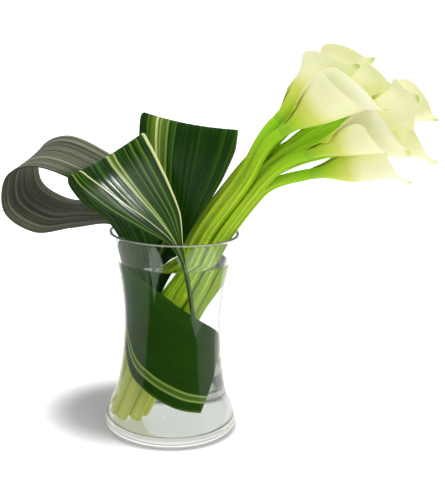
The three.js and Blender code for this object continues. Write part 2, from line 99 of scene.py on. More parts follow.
# Blooms: place in the bunch (across, row), the foot of the bloom, a point that it looks at, where the
# tip of its sheet leans, its size, how far in degrees the sheet opens and its rim curls, and its bulge,
# the share of the opening that goes back above its body.
BLOOMS = [
    dict(place=(-0.5, -1.5), foot=(100, -26, 307), aim=(157, -52, 343.5), tip=(0.4, -0.2, -0.9),
         size=0.98, open=21, bulge=0.35, curl=40),
    dict(place=(0.5, -1.5), foot=(124.5, -27.5, 286.5), aim=(192.5, -58, 310.4), tip=(0.45, 0.3, -0.85),
         size=0.9, open=15, bulge=0.3, curl=40),
    dict(place=(-1, -0.5), foot=(97, 2, 315), aim=(157, 7, 377), tip=(0.6, -0.7, -0.3),
         size=0.88, open=13, bulge=0, curl=31),
    dict(place=(0, -0.5), foot=(156.5, -9, 308.5), aim=(224.5, -18.5, 337), tip=(0.2, -0.9, 0.3),
         size=0.79, open=16, bulge=0.3, curl=45),
    dict(place=(1, -0.5), foot=(131, -12, 265), aim=(205, -23, 285.5), tip=(0.3, -0.3, -0.9),
         size=0.91, open=20, bulge=0.85, curl=35),
    dict(place=(-0.5, 0.5), foot=(142, 17.5, 327), aim=(212.5, 9, 364), tip=(0.5, -0.6, -0.6),
         size=0.74, open=14, bulge=0.4, curl=45),
    dict(place=(0.5, 0.5), foot=(170, 31, 316), aim=(243, 44, 328), tip=(0.8, -0.2, -0.5),
         size=0.88, open=15, bulge=0.3, curl=35),
    dict(place=(-1.12, 1.5), foot=(126, 40, 327), aim=(166, 54, 387), tip=(0.9, -0.2, -0.1),
         size=0.8, open=16, bulge=0.3, curl=45),
    dict(place=(-0.14, 1.5), foot=(150, 52, 295), aim=(224, 80, 307), tip=(0.4, 0.6, -0.6),
         size=0.94, open=15, bulge=0.3, curl=50),
    dict(place=(0.82, 1.5), foot=(171, 16, 286), aim=(246, 7, 302.5), tip=(0.5, 0.1, -0.86),
         size=0.84, open=17, bulge=0.4, curl=35),
]

# Spathe: the cream sheet of a bloom of size 1, rolled round its axis.
SPATHE_FRONT = 72.0
SPATHE_BACK = 92.0
SPATHE_TIP = 12.0
SPATHE_TIP_WIDTH = 0.35
SPATHE_MARGIN_SHARE = 0.45
MARGIN_START = 0.6
SPATHE_LEAN = 2.0
SPATHE_OVERLAP = 0.22
SPATHE_ROLL = 2.6
CURL_START = 0.76
CURL_POWER = 1.3
PHASE_STEP = 1.7
SPATHE_SINK = 4.0

# The waves of its rim: how high each is, how many times round, how many times the phase counts, and
# with what power of the way to the rim it grows.
SPATHE_WAVES = [(1.5, 3, 1, 4), (0.5, 7, 2, 10)]

# Florets of a spadix: how many go round it, how fast their lattice winds with height, in radians to
# the millimetre, and how high they stand.
FLORETS = 9
FLORET_TWIST = 2.3
FLORET_HEIGHT = 0.28

# Looped leaves: the stations of the middle line, each with half of the blade's width beside it, and
# the stripes: where each runs across the blade (from -1 to 1) at the crest and at the foot, its half
# width, how light it is, and from 0 to 1 how yellow. The crest and the foot are places from 0 to 1
# along the leaf, and the trough is its depth as a share of its half width. What a look says stands at
# the material of the leaves.
LOOPED_LEAVES = {
    "leaf_left": dict(
        trough=0.05,
        crest=0.42,
        foot=0.9,
        line=[
            ((-46, 31, 11.5), (1, 2, 0)),
            ((-21, 31, 105), (1, 2, 0)),
            ((-16, 28, 185), (2, 4, 1)),
            ((-40, 18, 233), (8, 17, 5)),
            ((-84, 16, 262), (15, 30, 9)),
            ((-125, 34, 272), (15, 32, 11)),
            ((-153, 53, 256), (14, 33, 10)),
            ((-154, 53, 224), (14, 33, 10)),
            ((-124, 36, 209), (13, 32, 11)),
            ((-88, 22, 213), (9, 28, 8)),
            ((-58, 14, 212), (6, 16, 3)),
            ((-41, 12, 198), (9, 7, 1)),
            ((-36, 11, 170), (8, 4, 0)),
        ],
        stripes=[],
        look=dict(grey=1.0),
    ),
    "leaf_front": dict(
        trough=0.06,
        crest=0.583,
        foot=0.25,
        line=[
            ((25, -29, 82), (1.4, 0.6, 0.6)),
            ((19, -33, 125), (1.4, 0.6, 0.6)),
            ((10, -48, 180), (1.7, 0.6, 0.6)),
            ((2, -57.6, 203), (6, 0, 1.5)),
            ((-14, -57, 225), (19, 1, 8)),
            ((-36, -53, 249), (28, 1, 16)),
            ((-57, -46, 273), (34, 2, 20)),
            ((-64, -36, 281), (34, 2, 21)),
            ((-67, -26, 271), (33, 2, 20)),
            ((-61, -20, 246), (26, 2, 14)),
            ((-48, -15, 221), (16, 2, 6)),
            ((-34, -12, 194), (16, 1, 3)),
            ((-24, -10, 152), (14, 1, 1)),
        ],
        stripes=[
            (0.98, 0.99, 0.055, 1.0, 0.1),
            (-0.73, -0.22, 0.022, 0.95, 0.1),
            (-0.92, -0.8, 0.02, 0.5, 0.7),
            (-0.84, -0.6, 0.012, 0.3, 0.8),
            (-0.02, 0.02, 0.04, 0.7, 0.4),
            (0.14, 0.08, 0.02, 0.8, 0.3),
            (0.08, 0.06, 0.11, 0.25, 0.9),
            (0.42, 0.34, 0.02, 0.2, 1.0),
            (0.58, 0.5, 0.04, 0.28, 1.0),
            (0.76, 0.7, 0.03, 0.25, 1.0),
        ],
        # Painted shade: the underside in the shade of the fold is mostly dark green.
        look=dict(shaded_underside=0.9),
    ),
    "leaf_back": dict(
        trough=0.07,
        crest=0.54,
        foot=0.2,
        line=[
            ((-16, 26, 130), (6, 0, 0)),
            ((-11, 18, 165), (10, -1, 0)),
            ((-1, 0, 197), (13, -2, 0)),
            ((3, -6, 220), (20, -2, -2)),
            ((5, -3, 255), (36, -3, -5)),
            ((9, 3, 288), (45, -2, -7)),
            ((12, 12, 305), (47, -2, -7)),
            ((14, 23, 305), (46, -2, -7)),
            ((15, 31, 286), (44, -1, -7)),
            ((15, 37, 255), (33, 0, -6)),
            ((15, 40, 222), (18, 0, -2)),
            ((14, 38, 190), (7, 0, 0)),
            ((13, 33, 160), (2, 0, 0)),
        ],
        stripes=[
            (-0.62, -0.6, 0.2, 0.3, 1.0),
            (-0.66, -0.6, 0.03, 0.85, 0.3),
            (-0.58, -0.54, 0.018, 0.4, 0.7),
            (-0.43, -0.41, 0.028, 0.45, 0.8),
            (-0.84, -0.8, 0.02, 0.25, 1.0),
            (-0.26, -0.28, 0.02, 0.16, 1.0),
        ],
        look=dict(gloss=0.03, veins=0.6),
    ),
}

# The leaf inside lies along the wall: its lower and its upper edge, each as an angle and a height.
INNER_LEAF = dict(
    edges=[
        (-229, 178, -226, 186),
        (-210, 142, -184, 189),
        (-178, 102, -142, 172),
        (-148, 67, -106, 154),
        (-122, 53, -84, 140),
        (-99, 43, -58, 125),
        (-80, 36, -30, 111),
        (-58, 31, -2, 97),
    ],
    crest=0.0,
    foot=1.0,
    stripes=[
        (-0.78, -0.74, 0.03, 0.8, 0.7),
        (-0.66, -0.6, 0.028, 0.85, 0.7),
        (-0.72, -0.67, 0.1, 0.25, 0.9),
        (-0.98, -0.98, 0.03, 0.2, 0.9),
    ],
    look=dict(gloss=0.15, veins=0.15, light=0.28),
)

# How far inside the wall the middle of its sheet lies.
INNER_LEAF_DEPTH = 1.1

# How many steps the grids of the pieces have along and across, or along and around.
STEM_GRID = (110, 28)
SPATHE_GRID = (72, 132)
SPADIX_GRID = (110, 54)
LOOPED_LEAF_GRID = (190, 72)
INNER_LEAF_GRID = (150, 72)

# Camera: its place, its turns and its lens, fitted to the circles of the rim and the foot.
CAMERA_DISTANCE = 1.0
CAMERA_HEIGHT = 0.4373
CAMERA_PITCH = 14.18
CAMERA_YAW = 2.73
CAMERA_ROLL = 1.95
CAMERA_LENS = 75.45

# Light: where the key light comes from, and the card that shines at the leaf in front. Its beam is
# narrow, so that the foot of the vase hardly mirrors it.
KEY_PLACE = (0.62, -0.5, 1.2)
CARD_PLACE = (-0.125, -0.525, 0.35)
CARD_AIM = (-0.04, -0.05, 0.25)
CARD_SIZE = 0.1
CARD_SPREAD = math.radians(36)
CARD_POWER = 0.13

# The dark front of the room: where it starts and where it is full, as how far a direction points
# towards the camera, and how bright it is as seen through glass.
FRONT_START = -0.4
FRONT_FULL = -0.52
FRONT_THROUGH = 0.35

# Floor: it reaches this many times as far to the right as to the left. A painted shadow lies round a
# place beside the vase: there its glow is left out, and from there the glow comes up between two
# distances. The pairs are distances from the vase's axis between which the painted light under the
# base, the mirror there and the painted shade of the foot fade out. Then come its colour beside the
# base and under it, how much it mirrors under the base, how much it glows there as painted light, and
# how much it glows at the foot, as painted shade.
FLOOR_RIGHT = 1.6
FLOOR_PAINTED_SHADOW = (-0.04, 0.03)
FLOOR_PAINTED_SHADOW_NEAR = 0.055
FLOOR_PAINTED_SHADOW_FAR = 0.12
BASE_PAINTED_LIGHT = (0.046, 0.054)
BASE_TOUCHES = (0.058, 0.062)
FOOT_PAINTED_SHADE = (0.063, 0.073)
FLOOR_COLOUR = (0.5, 0.5, 0.5)
BASE_COLOUR = (0.7, 0.72, 0.64)
FLOOR_MIRROR = 0.7
BASE_PAINTED_GLOW = 0.33
FOOT_PAINTED_SHADE_GLOW = 0.06

# How strongly the feet of the stems and the spathes carry a painted glow, which stands in for light coming
# through them.
STEM_PAINTED_GLOW = 0.07
SPATHE_PAINTED_GLOW = 0.14


def as_length(name, description, default):
    """A setting that is a length."""
    return FloatProperty(name=name, description=description, default=default, unit="LENGTH")


def as_number(name, description, default):
    """A setting that is a plain number."""
    return FloatProperty(name=name, description=description, default=default)


def as_colour(name, description, default):
    """A setting that is a colour."""
    return FloatVectorProperty(name=name, description=description, default=default, subtype="COLOR")


class VaseSettings(bpy.types.PropertyGroup):
    """Sizes and tints of the vase and its water."""

    height: as_length("Height", "Height of the vase", VASE_BOX[1].z)
    wall: as_length("Wall", "Thickness of the wall", 0.003)
    floor: as_length("Floor", "Thickness of the floor", 0.009)
    water_level: as_length("Water level", "Height of the water", WATER_BOX[1].z)
    segments: IntProperty(name="Segments", description="Segments of the round wall", default=160)
    glass: as_colour("Glass", "Tint of the glass", (0.985, 0.992, 0.99))
    water: as_colour("Water", "Tint of the water", (0.985, 0.995, 0.99))


class FlowerSettings(bpy.types.PropertyGroup):
    """Sizes and colours of the callas."""

    stem_radius: as_length("Stem radius", "Radius of a stem", 0.0056)
    neck_radius: as_length("Neck radius", "Radius of a spathe at its foot", 0.0049)
    sheet: as_length("Sheet", "Thickness of a spathe near its foot", 0.0011)
    spadix_length: as_length("Spadix length", "Length of a spadix", 0.056)
    spadix_radius: as_length("Spadix radius", "Largest radius of a spadix", 0.0042)
    stem: as_colour("Stem", "Green of the stems", (0.34, 0.68, 0.01))
    pale_stem: as_colour("Stem foot", "Pale green of the feet", (0.78, 0.82, 0.19))
    neck: as_colour("Neck", "Green of the necks, and of streaks in the stems", (0.5, 0.74, 0.018))
    fold: as_colour("Fold", "Yellow between the neck and the cream", (0.68, 0.72, 0.13))
    cream: as_colour("Cream", "Cream of the spathes", (0.87, 0.875, 0.5))
    lip: as_colour("Lip", "White of the rims", (0.885, 0.89, 0.62))
    spathe_tip: as_colour("Spathe tip", "Green of the spathes' tips", (0.42, 0.5, 0.04))
    spadix: as_colour("Spadix", "Yellow of the spadices", (0.82, 0.6, 0.06))
    pollen: as_colour("Pollen", "Light yellow in patches on the spadices", (0.9, 0.78, 0.25))


class LeafSettings(bpy.types.PropertyGroup):
    """Sizes and colours of the leaves."""

    blade: as_length("Blade", "Thickness of a blade", 0.0011)
    stalk: as_length("Stalk", "Thickness of a stalk", 0.003)
    green: as_colour("Green", "Dark green of the blades", (0.007, 0.032, 0.002))
    fresh: as_colour("Fresh green", "Lighter green of the veins", (0.05, 0.17, 0.006))
    stripe: as_colour("Stripe", "Cream of the stripes", (0.72, 0.76, 0.36))
    yellow: as_colour("Yellow green", "Yellow green of the stripes", (0.3, 0.48, 0.05))
    underside: as_colour("Underside", "Grey green of the undersides", (0.22, 0.23, 0.155))


class StageSettings(bpy.types.PropertyGroup):
    """Floor, light and camera."""

    floor_size: as_length("Floor", "Width of the floor behind the vase", 8.0)
    floor_front: as_length("Floor front", "How far the floor reaches in front of the vase", 0.22)
    floor_side: as_length("Floor side", "How far the floor reaches to the left of the vase", 0.19)
    floor_gap: as_length("Floor gap", "Air under the base, less than 0 where they touch", -0.00005)
    glow: as_number("Glow", "How brightly the open floor glows", 0.9)
    ambient: as_number("Ambient", "Even light from all round", 0.8)
    room: as_number("Room", "Brightness of the room in reflections", 0.62)
    front: as_number("Front", "Brightness of the room's dark front in reflections", 0.02)
    key: as_number("Key light", "Strength of the key light", 1.3)
    key_spread: FloatProperty(
        name="Key spread", description="How wide the key light is", default=math.radians(40),
        subtype="ANGLE",
    )


# Curves and grids


def ease(x):
    """A smooth step: 3x^2 - 2x^3 with x held between 0 and 1."""
    t = np.clip(x, 0.0, 1.0)
    return t * t * (3.0 - 2.0 * t)


def mix(a, b, x):
    """The straight blend a + (b - a) x."""
    return a + (b - a) * x


def rounded(x, start, end):
    """A quarter of a circle, which falls from 1 to 0 as x goes from start to end."""
    return np.sqrt(1 - np.clip((x - start) / (end - start), 0, 1) ** 2)


def unit(v):
    """Vectors of length 1 along the last axis."""
    return v / np.maximum(np.linalg.norm(v, axis=-1, keepdims=True), 1e-12)


def hermite(p1, p2, t1, t2, w):
    """The cubic from p1 to p2 with the slopes t1 and t2 at its ends, at w from 0 to 1."""
    return p1 + w * (t1 + w * ((3 * (p2 - p1) - 2 * t1 - t2) + w * (2 * (p1 - p2) + t1 + t2)))


def through(points, t):
    """A smooth curve through the points at t from 0 to 1, with equal shares of t between points.
    The slope at a point weighs its neighbours by the square root of their distance, and past each
    end stands a mirrored point."""
    p = np.asarray(points, float)
    last = len(p) - 1
    full = np.vstack([2 * p[0] - p[1], p, 2 * p[-1] - p[-2]])
    place = np.clip(t, 0.0, 1.0) * last
    i = np.minimum(place.astype(int), last - 1)
    w = (place - i)[:, None]
    p0, p1, p2, p3 = (full[i + k] for k in range(4))
    d0, d1, d2 = (
        np.maximum(np.linalg.norm(b - a, axis=1), 1e-8)[:, None] ** 0.5
        for a, b in ((p0, p1), (p1, p2), (p2, p3))
    )
    t1 = ((p1 - p0) / d0 - (p2 - p0) / (d0 + d1) + (p2 - p1) / d1) * d1
    t2 = ((p2 - p1) / d1 - (p3 - p1) / (d1 + d2) + (p3 - p2) / d2) * d1
    return hermite(p1, p2, t1, t2, w)


def spline(points, t):
    """A plain spline through the points: the slope at each is half the step between its neighbours."""
    p = np.asarray(points, float)
    last = len(p) - 1
    place = np.clip(t, 0.0, 1.0) * last
    i = np.minimum(place.astype(int), last - 1)
    w = (place - i)[:, None]
    p1, p2 = p[i], p[i + 1]
    t1 = (p2 - p[np.maximum(i - 1, 0)]) / 2
    t2 = (p[np.minimum(i + 2, last)] - p1) / 2
    return hermite(p1, p2, t1, t2, w)


def evenly(path, count):
    """The path again as that many points at equal distances along it."""
    lengths = np.linalg.norm(np.diff(path, axis=0), axis=1)
    along = np.concatenate([[0.0], np.cumsum(lengths)])
    at = np.linspace(0.0, along[-1], count)
    return np.stack([np.interp(at, along, path[:, k]) for k in range(3)], axis=1)


def dense_ends(count, start, end):
    """Steps from 0 to 1 that crowd at an end where its power is above 1: x is s to the power start,
    and the distance from 1 is (1 - s) to the power end, blended along the way."""
    s = np.linspace(0.0, 1.0, count)
    return mix(s**start, 1 - (1 - s) ** end, s)


class Surface:
    """The points, faces and face coordinates of one piece. Each added grid is a patch of quads."""

    def __init__(self):
        self.points = []
        self.faces = []
        self.uvs = []
        self.inner = []
        self.finish = []
        self.count = 0

    def add_points(self, grid):
        """Adds a grid of points and gives the grid of their numbers."""
        flat = grid.reshape(-1, 3)
        numbers = np.arange(self.count, self.count + len(flat)).reshape(grid.shape[:-1])
        self.points.append(flat)
        self.count += len(flat)
        return numbers

    def add_patch(self, numbers, uv, flip=False, inner=0.0, finish=0):
        """Adds the quads of a grid of point numbers. Their outside is the side from which rows that
        run up and columns that run right turn anticlockwise; flip turns it round. Finish numbers the
        material, for all faces or for each row of them."""
        corners = [(0, 0), (1, 0), (1, 1), (0, 1)]
        if not flip:
            corners = corners[::-1]
        rows, columns = numbers.shape[0] - 1, numbers.shape[1] - 1
        cut = [(slice(a, a + rows), slice(b, b + columns)) for a, b in corners]
        self.faces.append(np.stack([numbers[c] for c in cut], axis=-1).reshape(-1, 4))
        self.uvs.append(np.stack([uv[c] for c in cut], axis=-2).reshape(-1, 4, 2))
        self.inner.append(np.full(rows * columns, inner))
        self.finish.append(np.repeat(np.broadcast_to(finish, rows), columns))

    def add_disc(self, ring, centre, flip=False, finish=0):
        """Closes a ring of point numbers with triangles to a centre point."""
        middle = self.add_points(np.asarray(centre, float).reshape(1, 3))[0]
        nxt = np.roll(ring, -1)
        order = [ring, nxt] if not flip else [nxt, ring]
        faces = np.stack([*order, np.full(len(ring), middle), np.full(len(ring), middle)], axis=-1)
        self.faces.append(faces)
        self.uvs.append(np.zeros((len(ring), 4, 2)))
        self.inner.append(np.zeros(len(ring)))
        self.finish.append(np.full(len(ring), finish))


def grid_uv(u, v):
    """Face coordinates of a grid: u across its columns, and v along its rows or given at each point."""
    return np.stack(np.broadcast_arrays(u[None, :], v.reshape(len(v), -1)), axis=-1)


def make_piece(name, surface, materials, nodes):
    """Makes the mesh object of a surface in millimetres, smooth, riding on the root in place of its
    nodes. Faces whose last two corners are one point become triangles."""
    points = np.concatenate(surface.points) * MM
    faces = np.concatenate(surface.faces)
    uvs = np.concatenate(surface.uvs)
    inner = np.concatenate(surface.inner)
    sizes = np.where(faces[:, 2] == faces[:, 3], 3, 4)
    keep = np.arange(4)[None, :] < sizes[:, None]
    mesh = bpy.data.meshes.new(name)
    mesh.vertices.add(len(points))
    mesh.vertices.foreach_set("co", points.ravel())
    mesh.loops.add(int(sizes.sum()))
    mesh.loops.foreach_set("vertex_index", faces[keep])
    mesh.polygons.add(len(faces))
    starts = np.concatenate([[0], np.cumsum(sizes)[:-1]])
    mesh.polygons.foreach_set("loop_start", starts)
    mesh.update(calc_edges=True)
    mesh.polygons.foreach_set("use_smooth", np.ones(len(faces), bool))
    mesh.polygons.foreach_set("material_index", np.concatenate(surface.finish).astype(np.int32))
    mesh.uv_layers.new(name="sheet").data.foreach_set("uv", uvs[keep].ravel())
    mark = mesh.attributes.new("inner", "FLOAT", "CORNER")
    mark.data.foreach_set("value", np.repeat(inner, 4).reshape(-1, 4)[keep])
    for material in materials:
        mesh.materials.append(material)
    if mesh.validate():
        raise RuntimeError(f"{name} has faulty faces")
    piece = bpy.data.objects.new(name, mesh)
    bpy.context.scene.collection.objects.link(piece)
    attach(piece, "root")
    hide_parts(*nodes)
    return piece


def make_bloom_piece(number, slot, surface, material):
    """Makes the stem, the spathe or the spadix of a bloom, in place of the solid of its kind."""
    make_piece(f"{slot}_{number:02d}", surface, [material], [f"calla_{number:02d}_{slot}"])


def add_sheet(surface, middle, thickness, u, v):
    """Adds a thin closed sheet: both faces lie half the thickness off the middle grid along its
    normal, and they share the points of its rim, where the thickness must be 0."""
    along = np.gradient(middle, axis=0)
    across = np.gradient(middle, axis=1)
    offset = unit(np.cross(across, along)) * (0.5 * thickness[..., None])
    front = surface.add_points(middle + offset)
    back = front.copy()
    back[1:-1, 1:-1] = surface.add_points((middle - offset)[1:-1, 1:-1])
    surface.add_patch(front, grid_uv(u, v))
    surface.add_patch(back, grid_uv(u, v), flip=True, inner=1.0)


def add_rings(surface, grid, start, end, finish=0):
    """Adds a closed round body: a grid of rings between two end points. Finish numbers the material,
    for all of it or for each stretch from point to point."""
    finish = np.broadcast_to(finish, len(grid) + 1)
    numbers = surface.add_points(grid)
    closed = np.concatenate([numbers, numbers[:, :1]], axis=1)
    v, u = (np.linspace(0.0, 1.0, count) for count in closed.shape)
    surface.add_patch(closed, grid_uv(u, v), finish=finish[1:-1])
    surface.add_disc(numbers[0], start, flip=True, finish=finish[0])
    surface.add_disc(numbers[-1], end, finish=finish[-1])


def add_turned(surface, profile, segments, finish):
    """Adds a profile of radius and height turned about the Z axis, on which it starts and ends."""
    angle = np.arange(segments) * (2 * math.pi / segments)
    radius, height = profile[1:-1, :1], profile[1:-1, 1:]
    grid = np.broadcast_arrays(radius * np.cos(angle), radius * np.sin(angle), height)
    ends = ((0, 0, profile[k, 1]) for k in (0, -1))
    add_rings(surface, np.stack(grid, axis=-1), *ends, finish)


def add_tube(surface, path, radius, sides):
    """Adds a round tube along a path with closed ends. The ring at each point stands square to the
    path, and starts where the Y axis does, which no path here follows."""
    along = unit(np.gradient(path, axis=0))
    side = unit(np.cross(along, (0.0, 1.0, 0.0)))
    other = np.cross(side, along)
    angle = np.arange(sides) * (2 * math.pi / sides)
    ring = side[:, None] * np.cos(angle)[:, None] + other[:, None] * -np.sin(angle)[:, None]
    grid = path[:, None] + ring * np.reshape(radius, (len(path), -1, 1))
    add_rings(surface, grid, path[0], path[-1])


# Vase and water


def arc(centre, radius, start, end, count):
    """Points of a round corner: its centre as radius and height, from one angle to another."""
    angle = np.radians(np.linspace(start, end, count))
    return np.stack([centre[0] + radius * np.cos(angle), centre[1] + radius * np.sin(angle)], axis=1)


def vase_side():
    """The outside of the wall as radius and height."""
    return spline(VASE_SIDE, np.linspace(0.0, 1.0, VASE_STEPS))


def inner_radius(z, wall):
    """The radius of the inside of the wall at a height."""
    side = vase_side()
    return np.interp(z, side[:, 1], side[:, 0]) - wall


def inside_profile(wall, floor, top, corner=6.0):
    """The inside of the vase from the axis at the floor, round its corner and up the wall."""
    radius = inner_radius(floor + corner, wall)
    bend = arc((radius - corner, floor + corner), corner, -90, 0, 10)
    side = vase_side()
    rising = side[(side[:, 1] > floor + corner + 1) & (side[:, 1] < top - 0.5)] - [wall, 0.0]
    end = np.array([[inner_radius(top, wall), top]])
    flat = np.linspace(0.0, radius - corner, FLAT_STEPS)[:-1]
    flat = np.stack([flat, np.full(len(flat), floor)], axis=1)
    return np.concatenate([flat, bend, rising, end])


def vase_profile(settings):
    """The whole section of the glass: under the base, round the foot, up, over the rim, and down. Also
    the finish of each of its stretches: 1 where the water wets it, 2 on the rim, and 0 elsewhere."""
    wall, floor, top = settings.wall / MM, settings.floor / MM, settings.height / MM
    under = np.stack([np.linspace(0.0, BASE_RADIUS, FLAT_STEPS), np.zeros(FLAT_STEPS)], axis=1)
    turn = np.linspace(0.0, math.pi / 2, FLAT_STEPS)[1:-1]
    bulging = BASE_RADIUS + (FOOT_RADIUS - BASE_RADIUS) * np.sin(turn) ** 0.9
    foot = np.stack([bulging, FOOT_HEIGHT * (1 - np.cos(turn))], axis=1)
    rim = arc((RIM_RADIUS - wall / 2, top - RIM_ROUNDING), wall / 2, 15, 165, 9)
    inside = inside_profile(wall, floor, top - RIM_ROUNDING)[::-1]
    outside = np.concatenate([under, foot, vase_side(), rim])
    level = settings.water_level / MM
    line = np.array([[inner_radius(level, wall), level]])
    dry, wet = inside[inside[:, 1] > level + 0.2], inside[inside[:, 1] < level - 0.2]
    profile = np.concatenate([outside, dry, line, wet])
    stretch = np.arange(len(profile) - 1)
    finish = np.where(stretch >= len(outside) + len(dry), 1, 0)
    finish[len(outside) - len(rim):len(outside) - 1] = 2
    return profile, finish


def water_profile(settings, overlap=0.03, rise=1.3, reach=2.6):
    """The section of the water. It reaches a hair into the glass, so that no air shows between, and
    its surface rises towards the wall as rise times exp(-distance / reach). Also which of its stretches
    are that surface."""
    level = settings.water_level / MM
    body = inside_profile(settings.wall / MM - overlap, settings.floor / MM - overlap, level)
    edge = body[-1, 0]
    slope = edge - np.linspace(0.0, 6 * reach, 22)
    radius = np.concatenate([slope, np.linspace(slope[-1], 0.0, FLAT_STEPS)[1:]])
    height = level - rise + rise * np.exp((radius - edge) / reach)
    profile = np.concatenate([body[:-1], np.stack([radius, height], axis=1)])
    return profile, np.arange(len(profile) - 1) >= len(body) - 1


# Callas


def bundle_point(index, across, row):
    """A point of the bundle: its middle line moved across in its own plane, and into its row."""
    line = BUNDLE_LINE
    x, z = line[index]
    x0, z0 = line[max(index - 1, 0)]
    x1, z1 = line[min(index + 1, len(line) - 1)]
    along = np.array([x1 - x0, z1 - z0], float)
    along /= np.linalg.norm(along)
    shift = across * STEM_PITCH
    if index == 0:
        return np.array([x + shift / along[1], row * ROW_PITCH, z])
    return np.array([x + shift * along[1], row * ROW_PITCH, z - shift * along[0]])


def stem_path(bloom):
    """The line of a stem: through the bundle, and on in a cubic bend that leaves along the bundle
    and arrives at the foot of the bloom along its axis. Also the direction at its end."""
    points = [bundle_point(i, *bloom["place"]) for i in range(len(BUNDLE_LINE))]
    start, end = points[-1], np.array(bloom["foot"], float)
    reach = np.linalg.norm(end - start)
    (x0, z0), (x1, z1) = BUNDLE_LINE[-2:]
    leaving = unit(np.array([x1 - x0, 0, z1 - z0]))
    arriving = unit(np.array(bloom["aim"], float) - end)
    handle1 = start + leaving * reach * STEM_BEND_LEAVING
    handle2 = end - arriving * reach * STEM_BEND_ARRIVING
    for k in range(1, STEM_BEND_POINTS + 1):
        t = k / STEM_BEND_POINTS
        s = 1 - t
        points.append(s**3 * start + 3 * s * s * t * handle1 + 3 * s * t * t * handle2 + t**3 * end)
    fine = through(points, np.linspace(0.0, 1.0, STEM_SAMPLES))
    return fine, unit(fine[-1] - fine[-2])


def cut_end(path):
    """The path with more points close to its start, for a crisp cut, and how far along each lies."""
    close = np.array([0.0, 0.04, 0.12, 0.2, 0.5])[:, None]
    path = np.concatenate([path[0] + (path[1] - path[0]) * close, path[1:]])
    far = np.concatenate([[0.0], np.cumsum(np.linalg.norm(np.diff(path, axis=0), axis=1))])
    return path, (far / far[-1])[:, None]


def stem_radii(v, sides, radius, phase):
    """The radius of a stem at v along it, and at each angle round it. Two cosines add faint ridges,
    six straight ones and nine that twist. The cut foot starts a little narrower, and the last of the
    stem, inside the spathe, eases to seven tenths."""
    angle = np.arange(sides) * (2 * math.pi / sides)
    ridges = 0.07 * np.cos(6 * angle + phase) + 0.05 * np.cos(9 * angle + 14 * v)
    foot = mix(0.93, 1.0, ease(v * 800))
    top = 1 - 0.3 * ease((v - 0.988) / 0.012)
    return (radius - 0.08 + ridges) * foot * top


def bloom_place(bloom):
    """The foot of a bloom and its three directions: towards its tip, sideways, and along its axis."""
    fine, axis = stem_path(bloom)
    tip = np.array(bloom["tip"], float)
    tip = unit(tip - tip.dot(axis) * axis)
    return fine[-1], np.stack([tip, np.cross(axis, tip), axis])


def spathe_grid(bloom, phase, neck, rows, columns):
    """The middle sheet of a spathe in its own frame, with u across and t along it.
    Ribs run out from the neck. At each point of a rib its slope from the axis is the lean, plus the
    opening eased in and then eased back, so that the body bulges, plus the curl near the rim; its
    distance from the axis is the running sum of the slope's sine, and its height that of the cosine.
    The ribs go round the axis by more than one turn, and the distance grows with the turn, so one
    margin lies over the other. Towards the margins the ribs get shorter."""
    u = mix(-1.0, 1.0, dense_ends(columns, 1.25, 1.25))
    t = dense_ends(rows, 1.0, 1.5)[:, None]
    size, front = bloom["size"], bloom["size"] * SPATHE_FRONT
    seam = 1 / (1 + SPATHE_OVERLAP)
    past = ease((np.abs(u) - MARGIN_START) / (1 - MARGIN_START))
    turn = np.clip(u / seam, -1, 1) * math.pi
    back = ((1 + np.cos(turn)) / 2) ** 0.9
    rim = SPATHE_FRONT + (SPATHE_BACK - SPATHE_FRONT) * back
    rim = size * (rim + SPATHE_TIP * np.exp(-((turn / SPATHE_TIP_WIDTH) ** 2)))
    length = mix(rim, SPATHE_MARGIN_SHARE * front, past)
    inner = np.clip((seam - np.abs(u)) / 0.15, 0, 1)
    rim_curl = bloom["curl"] * np.where(u < 0, inner, 1 - 0.35 * past)
    s = t * length
    bulge = 1 - bloom["bulge"] * ease((s - 0.35 * front) / (0.45 * front))
    slope = SPATHE_LEAN + bloom["open"] * ease(s / (0.28 * front)) * bulge
    slope = np.radians(slope + rim_curl * ease((t - CURL_START) / (1 - CURL_START)) ** CURL_POWER)
    step = np.diff(t, axis=0) * length
    half = (slope[1:] + slope[:-1]) / 2
    r = np.vstack([np.zeros((1, columns)), np.cumsum(np.sin(half) * step, axis=0)])
    z = np.vstack([np.zeros((1, columns)), np.cumsum(np.cos(half) * step, axis=0)])
    phi = u * math.pi * (0.97 + (0.03 + SPATHE_OVERLAP) * ease((s - 6) / 20))
    roll = SPATHE_ROLL * phi * ease(s / 10) / (2 * math.pi)
    still = np.cos(np.clip(phi, -math.pi, math.pi) / 2) ** 2
    radius = neck - 0.5 * (1 - ease(s / 6)) + r + roll
    for high, times_round, times_phase, power in SPATHE_WAVES:
        radius = radius + high * np.sin(times_round * phi + times_phase * phase) * still * t**power
    z = z - SPATHE_SINK * (1 - ease(s / 14))
    grid = np.stack([radius * np.cos(phi), radius * np.sin(phi), z], axis=-1)
    return grid, u, t[:, 0], s / (size * (SPATHE_BACK + SPATHE_TIP))


def spathe_thickness(u, t, sheet):
    """The sheet thins to half towards its rim, and is rounded off to 0 along all its edges."""
    body = sheet * mix(1.0, 0.5, ease(t))
    ends = rounded(t, 0.99, 1.0) * rounded(t, 0.01, 0.0)
    return (body * ends)[:, None] * rounded(np.abs(u), 0.985, 1.0)


